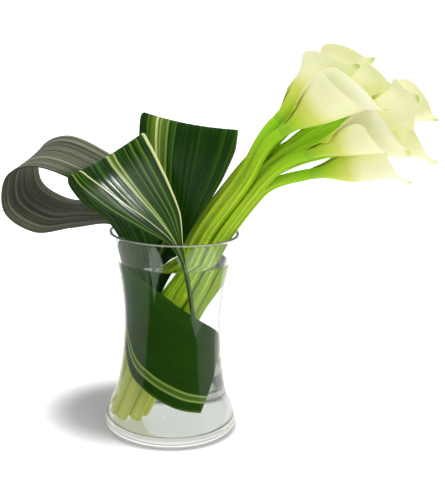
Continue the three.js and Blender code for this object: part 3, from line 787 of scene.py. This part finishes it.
def spadix_grid(length, widest, rows, columns):
    """A spadix about the Z axis: its radius swells from the foot, tapers to a round end, and carries
    round florets in a twisted lattice: the product of two crossing cosines of turn and height."""
    t = np.linspace(0.0, 1.0, rows + 1)[1:-1][:, None]
    phi = np.arange(columns) * (2 * math.pi / columns)
    body = widest * mix(0.55, 1.0, ease(t * 2.2 - 0.15)) * np.sqrt(1 - t**5) * (1 - 0.2 * t)
    z = t * length
    one = 0.5 + 0.5 * np.cos(FLORETS * phi + FLORET_TWIST * z)
    two = 0.5 + 0.5 * np.cos(FLORETS * phi - FLORET_TWIST * z)
    radius = body + FLORET_HEIGHT * np.maximum(one * two, (1 - one) * (1 - two)) - 0.1
    height = np.broadcast_to(z, radius.shape)
    return np.stack([radius * np.cos(phi), radius * np.sin(phi), height], axis=-1)


# Leaves


def leaf_grid(leaf, rows, columns):
    """The middle sheet of a looped leaf. At t along it, a point at w across, from -1 to 1, is the
    middle line plus w times the half width, plus a shallow trough and faint pleats along the normal."""
    t = np.linspace(0.0, 1.0, rows)
    w = mix(-1.0, 1.0, dense_ends(columns, 1.3, 1.3))
    middle = through([at for at, _ in leaf["line"]], t)
    side = through([half for _, half in leaf["line"]], t)
    along = unit(np.gradient(middle, axis=0))
    normal = unit(np.cross(side, along))
    width = np.linalg.norm(side, axis=1)
    broad = ease((width - 6) / 20)[:, None]
    dish = leaf["trough"] * width[:, None] * (w * w - 0.5)
    pleat = 0.1 * np.cos(13 * math.pi * w) * broad * (1 - w * w)
    wave = 0.7 * np.sin(26 * t[:, None] + 2 * np.sign(w)) * w**6 * broad
    height = dish + pleat + wave
    grid = middle[:, None] + side[:, None] * w[:, None] + normal[:, None] * height[..., None]
    return grid, width, w, t


def leaf_thickness(width, w, t, blade, stalk):
    """The blade is thin, thickens where it narrows into its stalk, and is rounded off at its edges."""
    body = mix(blade, stalk, 1 - ease((width - 1.6) / 8))
    ends = rounded(np.abs(2 * t - 1), 0.99, 1.0)
    return (body * ends)[:, None] * rounded(np.abs(w), 0.97, 1.0)


def inner_leaf_grid(wall, depth, rows, columns):
    """The sheet of the leaf inside: rows from its lower to its upper edge, laid on the wall."""
    t = dense_ends(rows, 1.3, 1.3)
    w = dense_ends(columns, 1.3, 1.3)
    low = spline([e[:2] for e in INNER_LEAF["edges"]], t)
    high = spline([e[2:] for e in INNER_LEAF["edges"]], t)
    place = mix(low[:, None], high[:, None], w[:, None])
    angle, z = np.radians(place[..., 0]), place[..., 1]
    radius = inner_radius(z, wall) - depth
    return np.stack([radius * np.cos(angle), radius * np.sin(angle), z], axis=-1), 2 * w - 1, t


# Materials


def math_node(operation, swapped=False):
    """A method of Wire that adds a Math node of an operation. Swapped puts the wire last."""

    def method(self, *others):
        values = (*others, self) if swapped else (self, *others)
        return self.tree.node("ShaderNodeMath", {"operation": operation}, dict(enumerate(values)))

    return method


class Wire:
    """A number in a node tree. Arithmetic on it adds Math nodes."""

    def __init__(self, tree, socket):
        self.tree = tree
        self.socket = socket

    __add__ = math_node("ADD")
    __radd__ = math_node("ADD", swapped=True)
    __sub__ = math_node("SUBTRACT")
    __rsub__ = math_node("SUBTRACT", swapped=True)
    __mul__ = math_node("MULTIPLY")
    __rmul__ = math_node("MULTIPLY", swapped=True)
    __truediv__ = math_node("DIVIDE")
    __pow__ = math_node("POWER")
    __abs__ = math_node("ABSOLUTE")
    sine = math_node("SINE")
    at_most = math_node("MINIMUM")
    at_least = math_node("MAXIMUM")

    def step(self, low, high):
        """Eases from 0 to 1 as the number goes from low to high."""
        sockets = {"Value": self, "From Min": low, "From Max": high}
        return self.tree.node("ShaderNodeMapRange", {"interpolation_type": "SMOOTHSTEP"}, sockets)


class Tree:
    """The node tree of a new material or world, emptied."""

    def __init__(self, owner):
        self.owner = owner
        owner.use_nodes = True
        self.tree = owner.node_tree
        self.tree.nodes.clear()

    def node(self, kind, settings=None, sockets=None, out=0):
        """Adds a node. Its settings come first, where stops are those of a colour ramp, each a place
        and a colour. Then each socket takes a value or a wire."""
        made = self.tree.nodes.new(kind)
        for key, value in (settings or {}).items():
            if key != "stops":
                setattr(made, key, value)
                continue
            elements = made.color_ramp.elements
            elements[0].position, elements[-1].position = value[0][0], value[-1][0]
            for place, _ in value[1:-1]:
                elements.new(place)
            for element, (_, colour) in zip(elements, value):
                element.color = (*colour, 1.0)
        for key, value in (sockets or {}).items():
            if isinstance(value, Wire):
                self.tree.links.new(value.socket, made.inputs[key])
            else:
                made.inputs[key].default_value = value
        return Wire(self, made.outputs[out] if made.outputs else None)

    def blend(self, amount, first, second):
        """A colour between two, each a colour or a wire."""
        first, second = (c if isinstance(c, Wire) else (*c, 1.0) for c in (first, second))
        return self.node("ShaderNodeMix", {"data_type": "RGBA"}, {0: amount, 6: first, 7: second}, 2)

    def between(self, amount, first, second):
        """A number between two."""
        return self.node("ShaderNodeMix", sockets={0: amount, 2: first, 3: second})

    def ramp(self, amount, *stops):
        """The colour at an amount along stops."""
        return self.node("ShaderNodeValToRGB", {"stops": stops}, {0: amount})

    def place(self):
        """The place in the frame of the part."""
        return self.node("ShaderNodeTexCoord", out="Object")

    def split(self, vector, *parts):
        """Parts of a vector, which are numbered from 0."""
        return [self.node("ShaderNodeSeparateXYZ", sockets={0: vector}, out=part) for part in parts]

    def uv(self):
        """The two face coordinates."""
        return self.split(self.node("ShaderNodeTexCoord", out="UV"), 0, 1)

    def inner(self):
        """1 on the inner face of a sheet, and 0 on its outer face."""
        return self.node("ShaderNodeAttribute", {"attribute_name": "inner"}, out="Fac")

    def noise(self, vector, scale, detail=3.0, roughness=0.55):
        """Soft noise around 0.5 at a vector."""
        sockets = {"Vector": vector, "Scale": scale, "Detail": detail, "Roughness": roughness}
        return self.node("ShaderNodeTexNoise", sockets=sockets)

    def vector(self, x, y, z=0.0):
        return self.node("ShaderNodeCombineXYZ", sockets={0: x, 1: y, 2: z})

    def bump(self, height, distance, strength=1.0):
        sockets = {"Height": height, "Distance": distance, "Strength": strength}
        return self.node("ShaderNodeBump", sockets=sockets)

    def principled(self, **sockets):
        """The main shader; a name's underscores stand for spaces."""
        named = {key.replace("_", " "): value for key, value in sockets.items()}
        return self.node("ShaderNodeBsdfPrincipled", sockets=named)

    def finish(self, shader, kind="ShaderNodeOutputMaterial"):
        """Joins the shader to the output, and gives the material or world."""
        self.node(kind, sockets={"Surface": shader})
        return self.owner


def new_tree(name):
    """The tree of a new material."""
    return Tree(bpy.data.materials.new(name))


def times(colour, factor):
    """A colour made lighter or darker."""
    return tuple(np.array(colour) * factor)


def clear_material(name, colour, ior, shadow, roughness=0.0):
    """Glass or water. Light that makes shadows passes straight through it, a little dimmed."""
    tree = new_tree(name)
    body = tree.principled(
        Base_Color=(*colour, 1.0), Roughness=roughness, IOR=ior, Transmission_Weight=1.0
    )
    dimmed = tree.node("ShaderNodeBsdfTransparent", sockets={"Color": (shadow, shadow, shadow, 1.0)})
    is_shadow = tree.node("ShaderNodeLightPath", out="Is Shadow Ray")
    return tree.finish(tree.node("ShaderNodeMixShader", sockets={0: is_shadow, 1: body, 2: dimmed}))


def stem_material(settings):
    """Fresh green with light and dark streaks along the stem, and paler towards its foot, which carries a
    painted glow that stands in for light coming up through the base."""
    tree = new_tree("stem_green")
    around, along = tree.uv()
    place = tree.place()
    (height,) = tree.split(place, 2)
    streaks = tree.noise(tree.vector((around * (2 * math.pi)).sine() * 9, around * 23, along * 3), 1.0)
    mottle = tree.noise(place, 60.0)
    green = tree.blend(streaks.step(0.34, 0.6), times(settings.stem, 0.45), settings.neck)
    green = tree.blend(mottle.step(0.5, 0.8) * 0.3, green, settings.stem)
    green = tree.blend(along.step(0.8, 0.99), green, settings.stem)
    pale = ((1 - height.step(0.02, 0.13)) * (0.3 + streaks * 1.2)).at_most(1.0)
    return tree.finish(
        tree.principled(
            Base_Color=tree.blend(pale, green, settings.pale_stem),
            Roughness=0.42 + streaks * 0.14,
            Normal=tree.bump(streaks, 0.0004, 0.35),
            Specular_IOR_Level=0.14,
            # Painted glow of the pale foot, standing in for light from below.
            Emission_Color=tree.blend(pale, (0.0, 0.0, 0.0), settings.pale_stem),
            Emission_Strength=STEM_PAINTED_GLOW,
        )
    )


def spathe_material(settings):
    """Cream sheet: green at the neck, yellow green above it, cream, and nearly white at the rim. The
    inside turns whiter sooner along it, with a green throat, but painted shade darkens all its tints to
    eight tenths. Faint veins run along it, and its tip is green. Above the neck it carries a painted
    glow, which stands in for light through a thin sheet from behind."""
    tree = new_tree("spathe_cream")
    across, along = tree.uv()
    soft = tree.noise(tree.place(), 28.0, 2.0)
    veins = tree.noise(tree.vector(across * 55, along * 1.3), 1.0)
    reach = along + (soft - 0.5) * 0.12 + (veins - 0.5) * 0.05
    neck, fold = np.array(settings.neck), np.array(settings.fold)
    outer = tree.ramp(
        reach,
        (0.04, times(settings.stem, 0.9)),
        (0.16, neck),
        (0.27, mix(neck, fold, 0.6)),
        (0.36, fold),
        (0.53, settings.cream),
        (1.0, settings.lip),
    )
    # The inside: the same tints darkened to eight tenths, as painted shade.
    inside = tree.ramp(
        reach,
        (0.1, times(fold, 0.9)),
        (0.4, times(settings.cream, 0.8)),
        (0.75, times(settings.lip, 0.8)),
    )
    colour = tree.blend(tree.inner(), outer, inside)
    colour = tree.blend(veins.step(0.45, 0.75) * 0.12, colour, fold)
    middle = 1 - abs(across - 0.5).step(0.0, 0.035)
    tip = along.step(0.9, 0.985) * middle
    colour = tree.blend(tip * 0.8, colour, settings.spathe_tip)
    return tree.finish(
        tree.principled(
            Base_Color=colour,
            Roughness=0.42 + veins * 0.12,
            Normal=tree.bump(veins, 0.0005, 0.25),
            Subsurface_Weight=0.3,
            Subsurface_Radius=(0.8, 1.0, 0.4),
            Subsurface_Scale=0.003,
            Specular_IOR_Level=0.3,
            # Painted glow above the neck, standing in for light through the thin sheet.
            Emission_Color=tree.blend(reach.step(0.1, 0.5), (0.0, 0.0, 0.0), colour),
            Emission_Strength=SPATHE_PAINTED_GLOW,
        )
    )


def spadix_material(settings):
    """Matt yellow, darker in its grain, with lighter patches."""
    tree = new_tree("spadix_yellow")
    place = tree.place()
    grain = tree.noise(place, 900.0, 2.0)
    patches = tree.noise(place, 120.0, 2.0)
    colour = tree.blend(grain.step(0.35, 0.7), times(settings.spadix, 0.55), settings.spadix)
    colour = tree.blend(patches.step(0.5, 0.8) * 0.5, colour, settings.pollen)
    normal = tree.bump(grain, 0.0004, 0.5)
    return tree.finish(tree.principled(Base_Color=colour, Roughness=0.75, Normal=normal))


def leaf_material(name, settings, leaf):
    """A leaf blade: dark green with fine parallel veins, and light stripes that fan out from the foot
    to the crest. It shines in streaks along the veins, at one side of its middle. The inner face has the
    grey green of an underside with dark threads, but low down and near its ends it is painted green, as
    painted shade. The look of a leaf says, from 0 to 1: grey, how far the outer face is like an
    underside too; gloss, how far it shines; veins, how light the veins are; light, how far the whole
    green is the lighter one; and shaded_underside, how far the underside is painted green, as painted
    shade in the fold."""
    look = {"grey": 0.0, "gloss": 1.0, "veins": 1.0, "light": 0.0, "shaded_underside": 0.0, **leaf["look"]}
    gloss, veins = look["gloss"], look["veins"]
    tree = new_tree(name)
    across, along = tree.uv()
    place = tree.place()
    (height,) = tree.split(place, 2)
    cloud = tree.noise(place, 22.0, 2.0)
    fine = tree.noise(tree.vector(across * 42, along * 2.2), 1.0, 4.0, 0.65)
    broad = tree.noise(tree.vector(across * 9, along * 1.1, 4.0), 1.0, 2.0)
    ribs = (across * 150 + fine * 2.5).sine()
    streaks = tree.noise(tree.vector(across * 24, along * 2.6, 9.0), 1.0, 3.0, 0.6)
    beside = 1 - abs(across + 0.3 + (broad - 0.5) * 0.4).step(0.16, 0.42)
    shine = streaks.step(0.45, 0.64) * beside
    green = tree.blend(broad.step(0.46, 0.68) * (0.6 * veins), settings.green, settings.fresh)
    green = tree.blend(fine.step(0.52, 0.64) * (0.7 * veins), green, settings.fresh)
    green = tree.blend(look["light"], green, settings.fresh)
    fanned = (along - leaf["foot"]) / (leaf["crest"] - leaf["foot"])
    wander = (cloud - 0.5) * 0.02
    colour = green
    for at_crest, at_foot, half, light, yellow in leaf["stripes"]:
        centre = at_foot + (at_crest - at_foot) * fanned
        off = abs(across + wander - centre) + (fine - 0.5) * half * 1.2
        mask = (1 - off.step(half * 0.45, half * 1.15)) * light
        tone = mix(np.array(settings.stripe), np.array(settings.yellow), yellow)
        colour = tree.blend(mask, colour, tone)
    threads = tree.noise(tree.vector(across * 70, along * 1.6, 5.0), 1.0, 4.0, 0.7)
    dull = tree.blend(threads.step(0.46, 0.58), times(settings.underside, 0.12), settings.underside)
    dull = tree.blend(broad.step(0.45, 0.75) * 0.7, dull, times(settings.underside, 1.8))
    # Painted shade: the underside is dark green low down, by the neck of the vase.
    dull = tree.blend(1 - height.step(0.18, 0.205), dull, settings.green)
    # Painted shade: the underside is green near the ends of the leaf.
    shaded_near_ends = 1 - (along + across * 0.03).step(0.31, 0.35) + along.step(0.86, 0.92)
    dull = tree.blend(shaded_near_ends, dull, green)
    # Painted shade in a fold: the underside turns green by the leaf's share.
    dull = tree.blend(look["shaded_underside"], dull, green)
    inner = tree.inner()
    under = inner + (1 - inner) * look["grey"]
    return tree.finish(
        tree.principled(
            Base_Color=tree.blend(under, colour, dull),
            Roughness=0.45 + fine * 0.1,
            Normal=tree.bump(fine * 0.7 + ribs * 0.06, 0.0006, 0.4 * gloss),
            Coat_Weight=(0.02 + shine * 0.95) * (1 - under * 0.9) * gloss,
            Coat_Roughness=0.26,
            Specular_IOR_Level=0.03 + 0.04 * gloss,
        )
    )


def floor_material(glow):
    """White. It glows as a light table does, but a painted shadow leaves the glow out in a patch beside
    the vase, at the left and behind, and painted shade makes it glow less under the vase, least of all
    under its foot. Where the base touches it, it mirrors, with the green tinge of thick glass."""
    tree = new_tree("floor_white")
    x, y = tree.split(tree.place(), 0, 1)
    radius = (x * x + y * y) ** 0.5
    touched = 1 - radius.step(*BASE_TOUCHES)
    x, y = x - FLOOR_PAINTED_SHADOW[0], y - FLOOR_PAINTED_SHADOW[1]
    # Painted shadow: the glow is left out round a place beside the vase, and comes up between two
    # distances.
    outside_painted_shadow = ((x * x + y * y) ** 0.5).step(FLOOR_PAINTED_SHADOW_NEAR, FLOOR_PAINTED_SHADOW_FAR)
    colour = tree.blend(outside_painted_shadow, (0.0, 0.0, 0.0), (1.0, 1.0, 1.0))
    # Painted shade under the vase: the glow drops nearly to nothing under the foot, and comes back to a
    # third under the middle of the base, as painted light.
    colour = tree.blend(1 - radius.step(*FOOT_PAINTED_SHADE), colour, (FOOT_PAINTED_SHADE_GLOW,) * 3)
    colour = tree.blend(1 - radius.step(*BASE_PAINTED_LIGHT), colour, (BASE_PAINTED_GLOW,) * 3)
    white = tree.principled(
        Base_Color=tree.blend(touched, FLOOR_COLOUR, BASE_COLOUR),
        Roughness=0.9 - 0.89 * touched,
        Metallic=touched * FLOOR_MIRROR,
        Emission_Color=colour,
        Emission_Strength=glow,
    )
    return tree.finish(white)


# Operators


class CALLAS_OT_vase(bpy.types.Operator):
    """Turns the glass vase from its section"""

    bl_idname = "callas.vase"
    bl_label = "Glass vase"

    def execute(self, context):
        settings = context.scene.calla_vase
        surface = Surface()
        profile, finish = vase_profile(settings)
        add_turned(surface, profile, settings.segments, finish)
        glasses = [
            clear_material("vase_glass", settings.glass, GLASS_IOR, GLASS_SHADOW),
            clear_material("vase_wet_glass", settings.glass, GLASS_IOR / WATER_IOR, GLASS_SHADOW),
            clear_material("vase_rim_glass", settings.glass, GLASS_IOR, GLASS_SHADOW, RIM_ROUGHNESS),
        ]
        make_piece("glass_vase", surface, glasses, ["vase"])
        return {"FINISHED"}


class CALLAS_OT_water(bpy.types.Operator):
    """Fills the vase with water"""

    bl_idname = "callas.water"
    bl_label = "Water"

    def execute(self, context):
        settings = context.scene.calla_vase
        surface = Surface()
        profile, top = water_profile(settings)
        add_turned(surface, profile, settings.segments, top)
        waters = [
            clear_material("vase_water", settings.water, 1.0, WATER_SHADOW),
            clear_material("water_surface", settings.water, WATER_IOR, WATER_SHADOW),
        ]
        make_piece("vase_water", surface, waters, ["water"])
        return {"FINISHED"}


class CALLAS_OT_stems(bpy.types.Operator):
    """Makes the stems, each from the floor of the vase to its bloom"""

    bl_idname = "callas.stems"
    bl_label = "Stems"

    def execute(self, context):
        settings = context.scene.calla_flowers
        material = stem_material(settings)
        steps, sides = STEM_GRID
        for number, bloom in enumerate(BLOOMS, 1):
            surface = Surface()
            path, v = cut_end(evenly(stem_path(bloom)[0], steps))
            radii = stem_radii(v, sides, settings.stem_radius / MM, number)
            add_tube(surface, path, radii, sides)
            make_bloom_piece(number, "stem", surface, material)
        return {"FINISHED"}


class CALLAS_OT_spathes(bpy.types.Operator):
    """Rolls the cream spathe of each bloom"""

    bl_idname = "callas.spathes"
    bl_label = "Spathes"

    def execute(self, context):
        settings = context.scene.calla_flowers
        material = spathe_material(settings)
        for number, bloom in enumerate(BLOOMS, 1):
            phase = (number - 1) * PHASE_STEP
            local, u, t, reach = spathe_grid(bloom, phase, settings.neck_radius / MM, *SPATHE_GRID)
            foot, turn = bloom_place(bloom)
            thickness = spathe_thickness(u, t, settings.sheet / MM)
            surface = Surface()
            add_sheet(surface, foot + local @ turn, thickness, (u + 1) / 2, reach)
            make_bloom_piece(number, "spathe", surface, material)
        return {"FINISHED"}


class CALLAS_OT_spadices(bpy.types.Operator):
    """Sets the yellow spadix in each bloom"""

    bl_idname = "callas.spadices"
    bl_label = "Spadices"

    def execute(self, context):
        settings = context.scene.calla_flowers
        material = spadix_material(settings)
        for number, bloom in enumerate(BLOOMS, 1):
            length = settings.spadix_length / MM * bloom["size"]
            grid = spadix_grid(length, settings.spadix_radius / MM, *SPADIX_GRID)
            foot, turn = bloom_place(bloom)
            surface = Surface()
            add_rings(surface, foot + grid @ turn, foot, foot + np.array([0, 0, length]) @ turn)
            make_bloom_piece(number, "spadix", surface, material)
        return {"FINISHED"}


class CALLAS_OT_looped_leaves(bpy.types.Operator):
    """Folds the three broad leaves over at the rim"""

    bl_idname = "callas.looped_leaves"
    bl_label = "Looped leaves"

    def execute(self, context):
        settings = context.scene.calla_leaves
        for name, leaf in LOOPED_LEAVES.items():
            grid, width, w, t = leaf_grid(leaf, *LOOPED_LEAF_GRID)
            thickness = leaf_thickness(width, w, t, settings.blade / MM, settings.stalk / MM)
            surface = Surface()
            add_sheet(surface, grid, thickness, w, t)
            material = leaf_material(name + "_blade", settings, leaf)
            make_piece(name + "_folded", surface, [material], [name])
        return {"FINISHED"}


class CALLAS_OT_inner_leaf(bpy.types.Operator):
    """Lays the leaf inside the wall of the vase"""

    bl_idname = "callas.inner_leaf"
    bl_label = "Inner leaf"

    def execute(self, context):
        settings = context.scene.calla_leaves
        wall = context.scene.calla_vase.wall / MM
        grid, w, t = inner_leaf_grid(wall, INNER_LEAF_DEPTH, *INNER_LEAF_GRID)
        ends = rounded(np.abs(2 * t - 1), 59 / 60, 1.0)
        thickness = settings.blade / MM * ends[:, None] * rounded(np.abs(w), 0.98, 1.0)
        surface = Surface()
        add_sheet(surface, grid[:, ::-1], thickness[:, ::-1], w[::-1], t)
        material = leaf_material("leaf_inside_blade", settings, INNER_LEAF)
        make_piece("leaf_inside_laid", surface, [material], ["leaf_inside"])
        return {"FINISHED"}


def add_light(name, kind, place, aim, **values):
    """Adds a light at a place, faced to a point. The values are those of its kind of light."""
    data = bpy.data.lights.new(name, kind)
    for key, value in values.items():
        setattr(data, key, value)
    light = bpy.data.objects.new(name, data)
    light.location = place
    light.rotation_euler = (Vector(place) - Vector(aim)).to_track_quat("Z", "Y").to_euler()
    bpy.context.scene.collection.objects.link(light)
    return light


def add_lights(settings):
    """A broad, even key light, as of a large white umbrella, and a bright card beside the camera,
    which shows only as gloss."""
    add_light(
        "key_light", "SUN", KEY_PLACE, (0.0, 0.0, 0.0), energy=settings.key, angle=settings.key_spread
    )
    card = add_light(
        "card", "AREA", CARD_PLACE, CARD_AIM, energy=CARD_POWER, size=CARD_SIZE, spread=CARD_SPREAD
    )
    card.visible_camera = False
    card.visible_diffuse = False
    card.visible_transmission = False


def set_world(settings):
    """A white room. Matt surfaces get even light from all round. What is seen through glass is white,
    reflections show the room dimmer, and both show it dark in front of the vase, where the photographer
    stands. The camera sees plain white."""
    tree = Tree(bpy.data.worlds.new("white_room"))
    kinds = ("Glossy", "Diffuse", "Camera")
    glossy, diffuse, camera = (tree.node("ShaderNodeLightPath", out=f"Is {kind} Ray") for kind in kinds)
    (ahead,) = tree.split(tree.node("ShaderNodeTexCoord", out="Generated"), 1)
    dark = tree.between(glossy, FRONT_THROUGH, settings.front)
    front = tree.node(
        "ShaderNodeMapRange",
        {"interpolation_type": "SMOOTHSTEP"},
        {"Value": ahead, "From Min": FRONT_START, "From Max": FRONT_FULL, "To Min": 1.0, "To Max": dark},
    )
    shown = front * tree.between(glossy, 1.0, settings.room)
    matt = tree.between(diffuse, shown, settings.ambient)
    white = {"Color": (1.0, 1.0, 1.0, 1.0), "Strength": matt.at_least(camera)}
    glow = tree.node("ShaderNodeBackground", sockets=white)
    bpy.context.scene.world = tree.finish(glow, "ShaderNodeOutputWorld")


def set_camera():
    """The camera of the photograph: its turns make the directions right, up and back."""
    data = bpy.data.cameras.new("camera")
    data.lens = CAMERA_LENS
    data.sensor_width = 36.0
    camera = bpy.data.objects.new("camera", data)
    pitch, yaw, roll = (math.radians(a) for a in (CAMERA_PITCH, CAMERA_YAW, CAMERA_ROLL))
    level = Vector((math.cos(yaw), -math.sin(yaw), 0.0))
    ahead = Vector((math.sin(yaw) * math.cos(pitch), math.cos(yaw) * math.cos(pitch), -math.sin(pitch)))
    upright = level.cross(ahead)
    right = math.cos(roll) * level + math.sin(roll) * upright
    up = math.cos(roll) * upright - math.sin(roll) * level
    turn = Matrix((right, up, -ahead)).transposed().to_4x4()
    camera.matrix_world = Matrix.Translation((0.0, -CAMERA_DISTANCE, CAMERA_HEIGHT)) @ turn
    bpy.context.scene.collection.objects.link(camera)
    bpy.context.scene.camera = camera


class CALLAS_OT_stage(bpy.types.Operator):
    """Sets the white floor, the light and the camera"""

    bl_idname = "callas.stage"
    bl_label = "Stage"

    def execute(self, context):
        settings = context.scene.calla_stage
        half, side, z = settings.floor_size / 2, settings.floor_side, -settings.floor_gap
        right, near = side * FLOOR_RIGHT, -settings.floor_front
        if half <= right:
            raise ValueError("the floor is narrower behind the vase than beside it")
        outline = [(-side, near), (right, near), (right, side), (half, half), (-half, half), (-side, side)]
        mesh = bpy.data.meshes.new("floor")
        mesh.from_pydata([(x, y, z) for x, y in outline], [], [range(len(outline))])
        mesh.materials.append(floor_material(settings.glow))
        floor = bpy.data.objects.new("floor", mesh)
        context.scene.collection.objects.link(floor)
        set_world(settings)
        add_lights(settings)
        set_camera()
        context.scene.view_settings.view_transform = "Standard"
        return {"FINISHED"}


class CALLAS_PT_panel(bpy.types.Panel):
    """Lists the pieces and their settings"""

    bl_idname = "CALLAS_PT_panel"
    bl_label = "Callas in a vase"
    bl_space_type = "VIEW_3D"
    bl_region_type = "UI"
    bl_category = "Callas"

    def draw(self, context):
        for operator in OPERATORS:
            self.layout.operator(operator.bl_idname)
        for group in SETTINGS:
            box = self.layout.box()
            settings = getattr(context.scene, group)
            for key in SETTINGS[group].__annotations__:
                box.prop(settings, key)


SETTINGS = {
    "calla_vase": VaseSettings,
    "calla_flowers": FlowerSettings,
    "calla_leaves": LeafSettings,
    "calla_stage": StageSettings,
}
OPERATORS = [
    CALLAS_OT_vase,
    CALLAS_OT_water,
    CALLAS_OT_stems,
    CALLAS_OT_spathes,
    CALLAS_OT_spadices,
    CALLAS_OT_looped_leaves,
    CALLAS_OT_inner_leaf,
    CALLAS_OT_stage,
]


def register():
    for made in [*SETTINGS.values(), *OPERATORS, CALLAS_PT_panel]:
        bpy.utils.register_class(made)
    for name, group in SETTINGS.items():
        setattr(bpy.types.Scene, name, PointerProperty(type=group))


def unregister():
    for name in SETTINGS:
        delattr(bpy.types.Scene, name)
    for made in reversed([*SETTINGS.values(), *OPERATORS, CALLAS_PT_panel]):
        bpy.utils.unregister_class(made)


def main():
    register()
    bpy.ops.callas.vase()
    bpy.ops.callas.water()
    bpy.ops.callas.stems()
    bpy.ops.callas.spathes()
    bpy.ops.callas.spadices()
    bpy.ops.callas.looped_leaves()
    bpy.ops.callas.inner_leaf()
    bpy.ops.callas.stage()


if __name__ == "__main__":
    main()
